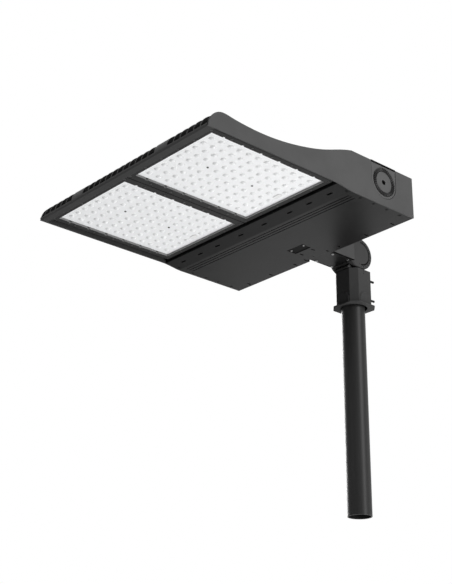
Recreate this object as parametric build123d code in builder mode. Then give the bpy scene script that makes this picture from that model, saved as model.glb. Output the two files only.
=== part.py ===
from build123d import *
import os
from math import sqrt

# A pole-top LED floodlight, in millimetres. The origin is the centre of the pole's foot, +Z is up,
# the head reaches forward along -Y, and X runs across it. The head is drawn level, lenses down.

# Pole and slipfitter
pole_radius = 30.15
pole_wall = 2.9
pole_length = 623.2
slide_gap = 0.3
socket_radius = 34.0
cap_thickness = 8.0
fitter_half_width = 39.3
fitter_corner = 16.6
fitter_height = 96.5
flange_half_width = 46.0
flange_corner = 18.0
flange_thickness = 3.0
pad_half_width = 20.0
pad_height = 35.0
pad_rise = 1.5
pad_bevel_angle = 45.0
set_screw_radius = 3.0
set_screw_length = 35.0
set_screw_x = 16.0
set_screw_low = 30.5
set_screw_high = 84.0
pip_radius = 1.5
pip_rise = 1.0
pip_drop = 4.5
pip_y = 1.5
dot_radius = 1.2
dot_drop = 10.9
wire_hole_radius = 6.0

# Tilting knuckle
pivot_y = -6.0
pivot_rise = 43.5
barrel_radius = 20.0
neck_half_length = 18.0
fork_gap = 0.3
web_gap = 0.4
cheek_thickness = 14.0
knuckle_half_width = 38.0
knuckle_radius = 42.7
knuckle_reach = 24.0
tongue_reach = 34.0
tongue_edge = 2.7
knuckle_bevel = 2.5
scale_radius = 31.0
scale_slot_width = 4.0
scale_slot_depth = 3.0
tick_start = 34.5
tick_length = 3.5
tick_width = 0.8
tick_depth = 0.5
tick_count = 13
scale_dot_radius = 1.6
scale_dot_back = 6.0
bolt_radius = 6.0
bolt_gap = 0.05
bolt_head_radius = 10.0
bolt_head_height = 7.5
bolt_end_wall = 4.0
washer_radius = 12.0
washer_thickness = 2.0

# Arm
arm_length = 84.4
arm_top_rise = 37.0
arm_bottom_drop = 27.5
arm_wall = 3.0
arm_end_wall = 6.0
arm_roof = 5.0
arm_mouth_half_width = 22.0
arm_ledge_height = 6.0
arm_gasket_thickness = 1.0
arm_cover_left = 31.0
arm_cover_right = 35.0
arm_cover_thickness = 2.0
arm_seal_thickness = 1.5
arm_cover_tab = 9.0
arm_cover_screw_x = 28.5
arm_cover_screw_ends = 14.5
knuckle_bolt_x = 30.0
knuckle_bolt_low = 11.0
knuckle_bolt_high = 25.0
knuckle_bolt_radius = 3.0
knuckle_bolt_depth = 12.0
knuckle_bolt_head = 4.6
knuckle_bolt_head_height = 5.0
arm_bolt_x = 24.0
arm_bolt_low = 10.0
arm_bolt_high = 23.0
arm_bolt_radius = 4.0
arm_bolt_head = 6.5
arm_bolt_head_height = 6.0
arm_wire_radius = 9.0

# Head: overall, side plates and heat sink
head_half_width = 308.4
side_plate_thickness = 3.4
rim_drop = 25.0
box_height = 98.6
box_length = 255.6
nose_depth = 22.7
plate_nose = ((4.0, 0.0), (6.0, 10.0), (12.5, 25.0))
fin_nose = ((2.0, 5.5), (5.0, 16.5), (12.0, 27.0))
crest_curve = ((24, 37.2), (36, 43.0), (48, 44.6), (66, 42.5), (100, 38.9), (145, 37.0), (209, 40.2))
slope_curve = ((-104.0, 0.206), (-41.0, 0.493), (8.0, 0.80), (46.0, 1.0))
plate_step_front = 9.0
plate_step_rear = 54.0
box_drop = 5.8
base_height = 18.0
base_thickness = 6.0
lip_inset = 2.0
lip_edge = 2.0
lip_bevel = 4.0
lip_face = 5.5
lip_back = 27.0
fin_root = 1.0
fin_pitch = 22.0
fin_thickness = 3.0
fin_count = 27
fin_inset = 0.5
block_first = 6
block_fins = 2
block_wall = 4.0
block_nose = 50.0
block_heel = 69.0
lead_pocket_half_width = 8.0
lead_pocket_margin = 21.75
lead_pocket_height = 32.0

# Lens panels
centre_gap = 1.2
side_gap = 11.0
rear_gap = 3.2
lip_gap = 1.3
panel_depth = 6.7
frame_length = 360.8
frame_bar_inner = 19.0
frame_bar_outer = 14.4
frame_bar_front = 14.5
frame_bar_rear = 13.3
frame_face_thickness = 5.3
notch_count = 6
notch_pitch = 53.4
notch_radius = 3.5
frame_screws_across = 6
frame_screws_along = 7
m3_radius = 1.5
m3_hole_radius = 1.7
m3_head_radius = 2.6
m3_head_height = 1.4
m3_depth = 4.5
lens_overlap = 3.2
lens_thickness = 2.0
lens_pitch = 26.5
lens_radius = 7.0
lens_rise = 4.8
lens_post_radius = 3.5
wire_seal_length = 25.0
wire_seal_width = 14.0
wire_seal_rise = 2.0
fit_gap = 0.1
board_thickness = 1.6
board_gap = 1.0
led_width = 3.5
led_rise = 0.8

# Driver box
housing_wall = 3.0
housing_roof = 5.0
housing_inset = 0.9
housing_front_share = 0.75
housing_flange = 15.0
flange_depth = 4.0
cover_thickness = 3.0
cover_gasket_thickness = 1.5
cover_slope = 44.0
cover_slot_y = 21.5
cover_slot_length = 17.0
cover_slot_width = 5.2
cover_slot_places = (42.0, 129.0, 194.0, 260.0)
groove_places = (54.8, 64.4, 74.3)
groove_half_length = 288.0
groove_width = 2.6
groove_depth = 1.6
cover_screw_edge = 8.0
cover_screw_count = 5
cover_screw_pitch = 45.0
cover_screw_rear = 38.1
cover_counterbore_depth = 1.4
m4_radius = 2.0
m4_hole_radius = 2.2
m4_head_radius = 3.6
m4_head_height = 1.2
m4_counterbore_radius = 4.0
rear_slot_places = (39.0, 77.0, 168.0, 253.0)
rear_slot_y = 13.6
rear_slot_length = 12.5
rear_slot_width = 4.4
inner_slot_x = 20.0
inner_slot_y = 46.6
drain_radius = 1.8
drain_place = (-8.6, 16.6)
notch_half_width = 38.5
notch_depth = 9.6
access_half_width = 26.5
access_half_length = 14.7
access_place = (-1.0, 75.6)
access_recess = 1.2
access_thickness = 1.2
access_window_edge = 12.0
access_screw_x = 21.5
access_screw_y = 4.5
box_bolt_x = 14.0
box_bolt_height = 60.0
box_bolt_depth = 14.0

# Yoke bosses and the studs that hold the side plates
boss_y = 101.6
boss_height = 54.0
boss_radius = 42.0
boss_bevel = 1.6
boss_seal_drop = 3.0
boss_seal_rise = 1.2
boss_rise = 1.8
tooth_inner_radius = 26.0
tooth_outer_radius = 36.0
tooth_count = 40
tooth_width = 4.4
tooth_depth = 1.5
spigot_radius = 30.0
spigot_length = 16.0
yoke_thread_radius = 6.0
yoke_thread_bevel = 1.0
yoke_thread_depth = 16.0
lock_ring_radius = 36.0
lock_ring_thickness = 9.0
stud_radius = 2.5
stud_length = 11.0
stud_front = 45.0
stud_rear = 20.0
stud_low = 20.0
stud_high = 78.0
nut_radius = 4.6
nut_thickness = 4.0

# Electrics inside the driver box
driver_length = 220.0
driver_width = 68.0
driver_height = 38.0
driver_front_gap = 28.0
driver_x = 150.0
driver_ear = 12.0
driver_ear_thickness = 3.0
driver_screw_depth = 4.0
terminal_length = 60.0
terminal_width = 24.0
terminal_height = 20.0
terminal_slots = 5
terminal_slot = 7.0
surge_x = 110.0
surge_length = 60.0
surge_width = 35.0
surge_height = 28.0
lead_radius = 3.0
lead_height = 40.0
lead_bend = 14.0
grommet_flange = 2.0
grommet_wall = 2.5

# Places that follow from the sizes above
socket_shift = socket_radius - pole_radius - slide_gap
fitter_top = pole_length + slide_gap + cap_thickness
fitter_bottom = fitter_top - fitter_height
fitter_face_y = socket_shift + fitter_half_width
pivot_z = fitter_top + pivot_rise
fork_half = knuckle_half_width - cheek_thickness
arm_rear = pivot_y - knuckle_reach
arm_front = arm_rear - arm_length
head_rear = arm_front - arm_gasket_thickness
arm_top = pivot_z + arm_top_rise
arm_bottom = pivot_z - arm_bottom_drop
cheek_corner = sqrt(knuckle_radius**2 - arm_bottom_drop**2)
rim = pivot_z - rim_drop
box_top = rim + box_height
box_bottom = rim - box_drop
box_front = head_rear - box_length
frame_rear = box_front - rear_gap
frame_front = frame_rear - frame_length
lip_rear = frame_front - lip_gap
head_front = frame_front - nose_depth - lip_gap
plate_inner = head_half_width - side_plate_thickness
base_bottom = rim + base_height
base_top = base_bottom + base_thickness
frame_face = rim + panel_depth
frame_step = frame_face + frame_face_thickness
frame_outer = plate_inner - side_gap
window_left = centre_gap + frame_bar_inner
window_right = frame_outer - frame_bar_outer
window_front = frame_front + frame_bar_front
window_rear = frame_rear - frame_bar_rear
panel_x = (window_left + window_right) / 2
panel_y = (window_front + window_rear) / 2
window_width = window_right - window_left
window_length = window_rear - window_front
lens_across = int(window_width / lens_pitch)
lens_along = int(window_length / lens_pitch)
lens_screw_column = lens_across // 2
lens_screw_rows = (lens_along // 4, lens_along - 1 - lens_along // 4)
wire_row = lens_along - 1
pocket_width = window_width + 2 * lens_overlap
pocket_length = window_length + 2 * lens_overlap
board_bottom = base_bottom - board_thickness
lens_top = frame_step + lens_thickness
housing_bottom = box_bottom + cover_thickness + cover_gasket_thickness
block_start = block_first * fin_pitch
block_width = block_fins * fin_pitch
block_x = block_start + block_width / 2
boss_centre_y = head_rear - boss_y
boss_centre_z = rim + boss_height
seat_level = box_bottom + cover_counterbore_depth
roof_under = box_top - housing_inset - housing_roof
terminal_y = head_rear - access_place[1]

os.makedirs("parts", exist_ok=True)


def lens_place(column, row):
    """Centre of one lens of the right-hand panel: columns run outwards, rows run to the rear."""
    across = panel_x + (column - (lens_across - 1) / 2) * lens_pitch
    along = panel_y + (row - (lens_along - 1) / 2) * lens_pitch
    return across, along


def spread(first, last, count):
    """Evenly spaced places from first to last."""
    return [first + (last - first) * i / (count - 1) for i in range(count)]


def side_profile(nose, inset):
    """Points of the head's upper outline in (y, z): its nose, then the rest lowered by an inset."""
    points = [(head_front + back, rim + up) for back, up in nose]
    points += [(head_front + back, rim + up - inset) for back, up in crest_curve]
    dip = crest_curve[-1][1]
    for back, share in slope_curve:
        points.append((box_front + back, rim + dip + (box_height - dip) * share - inset))
    return points


def cap_screw(head_radius, head_height, shank_radius, shank_length, socket=True):
    """A screw along +Z: its head hangs below the origin and its shank rises from it."""
    with BuildPart() as screw:
        Cylinder(head_radius, head_height, align=(Align.CENTER, Align.CENTER, Align.MAX))
        fillet(screw.edges().sort_by(Axis.Z)[0], head_height * 0.4)
        Cylinder(shank_radius, shank_length, align=(Align.CENTER, Align.CENTER, Align.MIN))
        if socket:
            with BuildSketch(Plane.XY.offset(-head_height)):
                RegularPolygon(head_radius * 0.45, 6)
            extrude(amount=head_height * 0.5, mode=Mode.SUBTRACT)
    return screw.part


def mirrored(piece):
    """The same piece on the other side of the head."""
    with BuildPart() as twin:
        mirror(piece, about=Plane.YZ)
    return twin.part


def save_pair(piece, name):
    """Write a handed piece: right is +X, left is its mirror image."""
    for side, solid in (("right", piece), ("left", mirrored(piece))):
        solid.label = f"{name}_{side}"
        export_step(solid, f"parts/{name}_{side}.step")


# Mounting pole: a plain steel tube
with BuildPart() as mounting_pole:
    with BuildSketch():
        Circle(pole_radius)
        Circle(pole_radius - pole_wall, mode=Mode.SUBTRACT)
    extrude(amount=pole_length)
mounting_pole.part.label = "mounting_pole"
export_step(mounting_pole.part, "parts/mounting_pole.step")


def bevelled_square(half_width, corner):
    """A square with cut corners about the socket's centre."""
    with BuildSketch(Plane.XY.offset(fitter_bottom)) as outline:
        with Locations((0, socket_shift)):
            Rectangle(2 * half_width, 2 * half_width)
        chamfer(outline.vertices(), corner)
    return outline.sketch


def pad_outline():
    """Arch-shaped pad on a face of the slipfitter, from the flange upwards."""
    with BuildSketch() as pad:
        with BuildLine():
            Polyline(
                (-pad_half_width, 0),
                (pad_half_width, 0),
                (pad_half_width, pad_height - pad_half_width),
            )
            ThreePointArc(
                (pad_half_width, pad_height - pad_half_width),
                (0, pad_height),
                (-pad_half_width, pad_height - pad_half_width),
            )
            Line((-pad_half_width, pad_height - pad_half_width), (-pad_half_width, 0))
        make_face()
    return pad.sketch


# Slipfitter: an eight-sided socket with a flange, a neck and a barrel for the tilt bolt
set_screw_heights = (fitter_bottom + set_screw_low, fitter_bottom + set_screw_high)
with BuildPart() as slipfitter_body:
    add(bevelled_square(fitter_half_width, fitter_corner))
    extrude(amount=fitter_height)
    add(bevelled_square(flange_half_width, flange_corner))
    extrude(amount=flange_thickness)
    for out_x, out_y in ((1, 0), (-1, 0), (0, -1)):
        middle = Plane((0, socket_shift, fitter_bottom), x_dir=(-out_y, out_x, 0), z_dir=(out_x, out_y, 0))
        with BuildSketch(middle.offset(fitter_half_width)):
            add(pad_outline())
        extrude(amount=pad_rise, taper=pad_bevel_angle)
    with BuildSketch(Plane.YZ.offset(-fork_half + fork_gap)):
        with Locations((pivot_y, pivot_z)):
            Circle(barrel_radius)
        with Locations((pivot_y, (fitter_top + pivot_z) / 2)):
            Rectangle(2 * neck_half_length, pivot_rise)
    extrude(amount=2 * (fork_half - fork_gap))
    with BuildSketch(Plane.XY.offset(fitter_bottom)):
        with Locations((0, socket_shift)):
            Circle(socket_radius)
    extrude(amount=fitter_height - cap_thickness, mode=Mode.SUBTRACT)
    with BuildSketch(Plane.YZ.offset(-fork_half)):
        with Locations((pivot_y, pivot_z)):
            Circle(bolt_radius + bolt_gap)
    extrude(amount=2 * fork_half, mode=Mode.SUBTRACT)
    with BuildSketch(Plane.XY.offset(fitter_top)):
        with Locations((0, pivot_y + neck_half_length + 2 * wire_hole_radius)):
            Circle(wire_hole_radius)
    extrude(amount=-cap_thickness, mode=Mode.SUBTRACT)
    with BuildSketch(Plane.XZ.offset(-fitter_face_y)):
        with Locations(*[(x, z) for x in (-set_screw_x, set_screw_x) for z in set_screw_heights]):
            Circle(set_screw_radius + bolt_gap)
    extrude(amount=fitter_half_width, mode=Mode.SUBTRACT)
    with BuildSketch(Plane.YZ.offset(fitter_half_width)):
        with Locations((pip_y, fitter_top - pip_drop)):
            Circle(pip_radius)
    extrude(amount=pip_rise)
    with BuildSketch(Plane.YZ.offset(fitter_half_width)):
        with Locations((pip_y, fitter_top - dot_drop)):
            Circle(dot_radius)
    extrude(amount=-dot_radius, mode=Mode.SUBTRACT)
slipfitter_body.part.label = "slipfitter_body"
export_step(slipfitter_body.part, "parts/slipfitter_body.step")

# Set screws: four long socket screws that press the pole against the far wall of the socket
set_screw_tip = sqrt((pole_radius + slide_gap) ** 2 - (set_screw_x - set_screw_radius) ** 2)
with BuildPart() as set_screws:
    with BuildSketch(Plane.XZ.offset(-set_screw_tip)):
        with Locations(*[(x, z) for x in (-set_screw_x, set_screw_x) for z in set_screw_heights]):
            Circle(set_screw_radius)
    extrude(amount=-set_screw_length)
    with BuildSketch(Plane.XZ.offset(-set_screw_tip - set_screw_length)):
        with Locations(*[(x, z) for x in (-set_screw_x, set_screw_x) for z in set_screw_heights]):
            RegularPolygon(set_screw_radius / 2, 6)
    extrude(amount=set_screw_radius, mode=Mode.SUBTRACT)
set_screws.part.label = "set_screws"
export_step(set_screws.part, "parts/set_screws.step")

# Knuckle yoke: a fork around the barrel, with the angle scale on its cheeks
tick_sweep = 180 + 180 / (tick_count - 1)
with BuildPart() as knuckle_yoke:
    with BuildSketch(Plane.YZ.offset(-knuckle_half_width)):
        with BuildLine():
            top = (pivot_y, pivot_z + knuckle_radius)
            lower = (pivot_y - cheek_corner, arm_bottom)
            ThreePointArc(top, (pivot_y + knuckle_radius, pivot_z), lower)
            Polyline(lower, (arm_rear, arm_bottom), (arm_rear, pivot_z + knuckle_radius), top)
        make_face()
    extrude(amount=2 * knuckle_half_width)
    rims = [
        edge
        for edge in knuckle_yoke.edges().filter_by(GeomType.CIRCLE)
        if abs(abs(edge.center().X) - knuckle_half_width) < fork_gap
    ]
    chamfer(rims, knuckle_bevel)
    with BuildSketch(Plane.YZ.offset(-fork_half)):
        with BuildLine():
            Polyline(
                (pivot_y, pivot_z - knuckle_radius),
                (pivot_y - tongue_reach, pivot_z - knuckle_radius),
                (pivot_y - tongue_reach, pivot_z - knuckle_radius + tongue_edge),
                (arm_rear, arm_bottom),
                (pivot_y, arm_bottom),
                close=True,
            )
        make_face()
    extrude(amount=2 * fork_half)
    with BuildSketch(Plane.YZ.offset(-fork_half)):
        with Locations((pivot_y - barrel_radius - web_gap, pivot_z)):
            Rectangle(4 * knuckle_radius, 4 * knuckle_radius, align=(Align.MIN, Align.CENTER))
    extrude(amount=2 * fork_half, mode=Mode.SUBTRACT)
    for side in (-1, 1):
        with BuildSketch(Plane.YZ.offset(side * knuckle_half_width)):
            with Locations((pivot_y, pivot_z)):
                SlotArc(
                    CenterArc((0, 0), scale_radius, -90, 180, mode=Mode.PRIVATE),
                    scale_slot_width,
                    mode=Mode.ADD,
                )
        extrude(amount=-side * scale_slot_depth, mode=Mode.SUBTRACT)
        with BuildSketch(Plane.YZ.offset(side * knuckle_half_width)):
            with Locations((pivot_y, pivot_z)):
                with PolarLocations(tick_start + tick_length / 2, tick_count, -90, tick_sweep):
                    Rectangle(tick_length, tick_width)
            with Locations(*[(pivot_y - scale_dot_back, pivot_z + end * scale_radius) for end in (-1, 1)]):
                Circle(scale_dot_radius)
        extrude(amount=-side * tick_depth, mode=Mode.SUBTRACT)
    with BuildSketch(Plane.YZ.offset(-knuckle_half_width)):
        with Locations((pivot_y, pivot_z)):
            Circle(bolt_radius + bolt_gap)
    extrude(amount=2 * knuckle_half_width - bolt_end_wall, mode=Mode.SUBTRACT)
    with BuildSketch(Plane.XZ.offset(-arm_rear)):
        with Locations(*[
            (x, pivot_z + up)
            for x in (-knuckle_bolt_x, knuckle_bolt_x)
            for up in (-knuckle_bolt_low, knuckle_bolt_high)
        ]):
            Circle(knuckle_bolt_radius + bolt_gap)
    extrude(amount=-knuckle_bolt_depth, mode=Mode.SUBTRACT)
knuckle_yoke.part.label = "knuckle_yoke"
export_step(knuckle_yoke.part, "parts/knuckle_yoke.step")

# Pivot bolt and its washer: the bolt enters from the -X side and threads into the far cheek
bolt_length = 2 * knuckle_half_width - bolt_end_wall
bolt_seat = Plane((-knuckle_half_width - washer_thickness, pivot_y, pivot_z), z_dir=(1, 0, 0))
with BuildPart() as pivot_bolt:
    with Locations(bolt_seat):
        Cylinder(bolt_radius, bolt_length + washer_thickness, align=(Align.CENTER, Align.CENTER, Align.MIN))
    with BuildSketch(bolt_seat):
        RegularPolygon(bolt_head_radius, 6)
    extrude(amount=-bolt_head_height)
pivot_bolt.part.label = "pivot_bolt"
export_step(pivot_bolt.part, "parts/pivot_bolt.step")

with BuildPart() as pivot_washer:
    with BuildSketch(bolt_seat):
        Circle(washer_radius)
        Circle(bolt_radius + bolt_gap, mode=Mode.SUBTRACT)
    extrude(amount=washer_thickness)
pivot_washer.part.label = "pivot_washer"
export_step(pivot_washer.part, "parts/pivot_washer.step")

# Arm bracket: a hollow box, open below, with ledges for its cover
knuckle_bolt_places = [
    (x, pivot_z + up)
    for x in (-knuckle_bolt_x, knuckle_bolt_x)
    for up in (-knuckle_bolt_low, knuckle_bolt_high)
]
arm_bolt_places = [
    (x, pivot_z + up) for x in (-arm_bolt_x, arm_bolt_x) for up in (-arm_bolt_low, arm_bolt_high)
]
arm_middle = (arm_front + arm_rear) / 2
arm_cavity_length = arm_length - 2 * arm_end_wall
arm_cavity_half = knuckle_half_width - arm_wall
cover_shelf = arm_bottom + arm_cover_thickness
arm_seat = cover_shelf + arm_seal_thickness
ledge_top = arm_seat + arm_ledge_height
arm_screw_places = [
    (x, y)
    for x in (-arm_cover_screw_x, arm_cover_screw_x)
    for y in (arm_front + arm_cover_screw_ends, arm_rear - arm_cover_screw_ends)
]
with BuildPart() as arm_bracket:
    with BuildSketch(Plane.XY.offset(arm_seat)):
        with Locations((0, arm_middle)):
            Rectangle(2 * knuckle_half_width, arm_length)
    extrude(amount=arm_top - arm_seat)
    with BuildSketch(Plane.XY.offset(arm_seat)):
        with Locations((0, arm_middle)):
            Rectangle(2 * arm_mouth_half_width, arm_cavity_length)
    extrude(amount=arm_ledge_height, mode=Mode.SUBTRACT)
    with BuildSketch(Plane.XY.offset(ledge_top)):
        with Locations((0, arm_middle)):
            Rectangle(2 * arm_cavity_half, arm_cavity_length)
    extrude(amount=arm_top - arm_roof - ledge_top, mode=Mode.SUBTRACT)
    with BuildSketch(Plane.XZ.offset(-arm_rear)):
        with Locations(*knuckle_bolt_places):
            Circle(knuckle_bolt_radius + bolt_gap)
        with Locations((0, pivot_z)):
            Circle(arm_wire_radius)
    extrude(amount=arm_end_wall, mode=Mode.SUBTRACT)
    with BuildSketch(Plane.XZ.offset(-arm_front)):
        with Locations(*arm_bolt_places):
            Circle(arm_bolt_radius + bolt_gap)
        with Locations((0, pivot_z)):
            Circle(arm_wire_radius)
    extrude(amount=-arm_end_wall, mode=Mode.SUBTRACT)
    with BuildSketch(Plane.XY.offset(arm_seat)):
        with Locations(*arm_screw_places):
            Circle(m4_radius + bolt_gap)
    extrude(amount=arm_ledge_height, mode=Mode.SUBTRACT)
arm_bracket.part.label = "arm_bracket"
export_step(arm_bracket.part, "parts/arm_bracket.step")

# Knuckle bolts: from inside the arm into the yoke's cheeks
with BuildPart() as knuckle_bolts:
    inside = Plane((0, arm_rear - arm_end_wall, 0), x_dir=(-1, 0, 0), z_dir=(0, 1, 0))
    with Locations(*[inside * Pos(x, z) for x, z in knuckle_bolt_places]):
        add(cap_screw(
            knuckle_bolt_head,
            knuckle_bolt_head_height,
            knuckle_bolt_radius,
            arm_end_wall + knuckle_bolt_depth,
        ))
knuckle_bolts.part.label = "knuckle_bolts"
export_step(knuckle_bolts.part, "parts/knuckle_bolts.step")

# Arm bolts: from inside the driver box, through its rear wall and the gasket, into the arm
with BuildPart() as arm_bolts:
    inside = Plane((0, head_rear - housing_wall, 0), x_dir=(-1, 0, 0), z_dir=(0, 1, 0))
    with Locations(*[inside * Pos(x, z) for x, z in arm_bolt_places]):
        add(cap_screw(
            arm_bolt_head,
            arm_bolt_head_height,
            arm_bolt_radius,
            housing_wall + arm_gasket_thickness + arm_end_wall,
        ))
arm_bolts.part.label = "arm_bolts"
export_step(arm_bolts.part, "parts/arm_bolts.step")

# Arm gasket between the driver box and the arm
with BuildPart() as arm_gasket:
    with BuildSketch(Plane.XZ.offset(-head_rear)):
        with Locations((0, cover_shelf + slide_gap)):
            Rectangle(
                2 * (knuckle_half_width - slide_gap),
                arm_top - cover_shelf - 2 * slide_gap,
                align=(Align.CENTER, Align.MIN),
            )
        with Locations(*arm_bolt_places):
            Circle(arm_bolt_radius + fit_gap, mode=Mode.SUBTRACT)
        with Locations((0, pivot_z)):
            Circle(arm_wire_radius, mode=Mode.SUBTRACT)
    extrude(amount=-arm_gasket_thickness)
arm_gasket.part.label = "arm_gasket"
export_step(arm_gasket.part, "parts/arm_gasket.step")

# Arm cover seal: a rubber ring between the arm and its cover
with BuildPart() as arm_cover_seal:
    with BuildSketch(Plane.XY.offset(cover_shelf)):
        with Locations((0, arm_middle)):
            Rectangle(2 * (knuckle_half_width - slide_gap), arm_length - 2 * slide_gap)
            Rectangle(2 * arm_mouth_half_width, arm_cavity_length, mode=Mode.SUBTRACT)
        with Locations(*arm_screw_places):
            Circle(m4_hole_radius, mode=Mode.SUBTRACT)
    extrude(amount=arm_seal_thickness)
arm_cover_seal.part.label = "arm_cover_seal"
export_step(arm_cover_seal.part, "parts/arm_cover_seal.step")

# Arm cover: the plate below the arm, with a tab that reaches into the driver box
arm_cover_middle = (arm_cover_right - arm_cover_left) / 2
arm_cover_width = arm_cover_left + arm_cover_right
with BuildPart() as arm_cover:
    with BuildSketch(Plane.XY.offset(arm_bottom)):
        with Locations((arm_cover_middle, arm_rear - slide_gap)):
            Rectangle(
                arm_cover_width,
                arm_length + arm_gasket_thickness + arm_cover_tab - slide_gap,
                align=(Align.CENTER, Align.MAX),
            )
        with Locations(*arm_screw_places):
            Circle(m4_hole_radius, mode=Mode.SUBTRACT)
    extrude(amount=arm_cover_thickness)
arm_cover.part.label = "arm_cover"
export_step(arm_cover.part, "parts/arm_cover.step")

with BuildPart() as arm_cover_screws:
    with Locations(*[(x, y, arm_bottom) for x, y in arm_screw_places]):
        add(cap_screw(m4_head_radius, m4_head_height, m4_radius, ledge_top - arm_bottom))
arm_cover_screws.part.label = "arm_cover_screws"
export_step(arm_cover_screws.part, "parts/arm_cover_screws.step")


def plate_outline(nose, inset):
    """The head's outline in (y, z) as a closed face, for the fins and the side plates."""
    points = side_profile(nose, inset)
    with BuildSketch() as outline:
        with BuildLine():
            Spline(*points)
            Polyline(points[-1], (head_rear, points[-1][1]), (head_rear, box_bottom))
            step_rear = (box_front + plate_step_rear, box_bottom)
            step_front = (box_front - plate_step_front, rim)
            Line((head_rear, box_bottom), step_rear)
            Spline(step_rear, step_front, tangents=((-1, 0), (-1, 0)))
            Line(step_front, points[0])
        make_face()
    return outline.sketch


# Heat sink: a base plate with a front lip, thin fins and two solid blocks
fin_middle = (fin_count - 1) / 2
block_last = block_first + block_fins
fin_numbers = [n for n in range(fin_count) if not block_first <= abs(n - fin_middle) <= block_last]
fin_places = [(n - fin_middle) * fin_pitch for n in fin_numbers]
first_across = centre_gap + frame_bar_inner / 2
last_across = frame_outer - frame_bar_outer / 2
screw_across = spread(first_across, last_across, frame_screws_across)
first_along = frame_front + frame_bar_front / 2
last_along = frame_rear - frame_bar_rear / 2
screw_along = spread(first_along, last_along, frame_screws_along)
frame_screw_places = [(x, y) for x in screw_across for y in (screw_along[0], screw_along[-1])]
frame_screw_places += [(x, y) for x in (screw_across[0], screw_across[-1]) for y in screw_along[1:-1]]
lens_screw_places = [lens_place(lens_screw_column, row) for row in lens_screw_rows]
board_y = lens_place(lens_screw_column, wire_row)[1]
box_bolt_places = [
    (side * (block_x + offset), rim + box_bolt_height)
    for side in (-1, 1)
    for offset in (-box_bolt_x, box_bolt_x)
]


def fin_outline():
    """One fin in (y, z): the head's outline ahead of the driver box, rooted in the base plate."""
    with BuildSketch() as fin:
        add(plate_outline(fin_nose, fin_inset))
        with BuildLine():
            Polyline(
                (head_front, box_bottom - fin_root),
                (head_front, rim + lip_face - fin_root),
                (head_front + lip_inset, rim + lip_face - fin_root),
                (head_front + lip_back, base_top - fin_root),
                (head_rear, base_top - fin_root),
                (head_rear, box_bottom - fin_root),
                close=True,
            )
        make_face(mode=Mode.SUBTRACT)
        with Locations((box_front, rim)):
            Rectangle(box_length, 2 * box_top, align=(Align.MIN, Align.CENTER), mode=Mode.SUBTRACT)
    return fin.sketch


with BuildPart() as heat_sink:
    with BuildSketch(Plane.YZ.offset(-plate_inner)):
        with BuildLine():
            Polyline(
                (lip_rear, rim),
                (head_front + lip_inset + lip_bevel, rim),
                (head_front + lip_inset, rim + lip_edge),
                (head_front + lip_inset, rim + lip_face),
                (head_front + lip_back, base_top),
                (box_front, base_top),
                (box_front, base_bottom),
                (lip_rear, base_bottom),
                close=True,
            )
        make_face()
    extrude(amount=2 * plate_inner)
    with BuildSketch(*[Plane.YZ.offset(x - fin_thickness / 2) for x in fin_places]):
        add(fin_outline())
    extrude(amount=fin_thickness)
    with BuildSketch(*[Plane.YZ.offset(side * block_x - block_width / 2) for side in (-1, 1)]):
        add(fin_outline())
    extrude(amount=block_width)
    with BuildSketch(Plane.XY.offset(base_top)):
        with Locations(*[(side * block_x, head_front + block_nose) for side in (-1, 1)]):
            Rectangle(
                block_width - 2 * block_wall,
                box_front - block_heel - head_front - block_nose,
                align=(Align.CENTER, Align.MIN),
            )
    extrude(amount=box_height, mode=Mode.SUBTRACT)
    with BuildSketch(Plane.XY.offset(base_bottom)):
        with Locations(*[(side * block_x, box_front) for side in (-1, 1)]):
            Rectangle(
                2 * lead_pocket_half_width,
                box_front - board_y + lead_pocket_margin,
                align=(Align.CENTER, Align.MAX),
            )
    extrude(amount=lead_pocket_height, mode=Mode.SUBTRACT)
    with BuildSketch(Plane.XZ.offset(-box_front)):
        with Locations(*box_bolt_places):
            Circle(knuckle_bolt_radius + bolt_gap)
    extrude(amount=box_bolt_depth, mode=Mode.SUBTRACT)
    with BuildSketch(Plane.XY.offset(base_bottom)):
        for side in (-1, 1):
            with Locations(*[(side * x, y) for x, y in frame_screw_places + lens_screw_places]):
                Circle(m3_radius + bolt_gap)
    extrude(amount=m3_depth, mode=Mode.SUBTRACT)
heat_sink.part.label = "heat_sink"
export_step(heat_sink.part, "parts/heat_sink.step")

# Box bolts: from inside the driver box into the heat sink's blocks
with BuildPart() as box_bolts:
    inside = Plane((0, box_front + housing_wall, 0), x_dir=(1, 0, 0), z_dir=(0, -1, 0))
    with Locations(*[inside * Pos(x, z) for x, z in box_bolt_places]):
        add(cap_screw(
            knuckle_bolt_head, knuckle_bolt_head_height, knuckle_bolt_radius, housing_wall + box_bolt_depth
        ))
box_bolts.part.label = "box_bolts"
export_step(box_bolts.part, "parts/box_bolts.step")

# Lens frames: one cast ring for each panel, with round notches along its long edges
notch_places = [
    (x, panel_y + (n - (notch_count - 1) / 2) * notch_pitch)
    for x in (window_left, window_right)
    for n in range(notch_count)
]
with BuildPart() as lens_frame:
    with BuildSketch(Plane.XY.offset(frame_face)):
        with Locations(((centre_gap + frame_outer) / 2, (frame_front + frame_rear) / 2)):
            Rectangle(frame_outer - centre_gap, frame_length)
        with Locations((panel_x, panel_y)):
            Rectangle(window_width, window_length, mode=Mode.SUBTRACT)
        with Locations(*frame_screw_places):
            Circle(m3_hole_radius, mode=Mode.SUBTRACT)
    extrude(amount=base_bottom - frame_face)
    with BuildSketch(Plane.XY.offset(frame_step)):
        with Locations((panel_x, panel_y)):
            Rectangle(pocket_width, pocket_length)
    extrude(amount=base_bottom - frame_step, mode=Mode.SUBTRACT)
    with BuildSketch(Plane.XY.offset(frame_face)):
        with Locations(*notch_places):
            Circle(notch_radius)
    extrude(amount=(lens_overlap / notch_radius) * frame_face_thickness, mode=Mode.SUBTRACT)
save_pair(lens_frame.part, "lens_frame")

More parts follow.
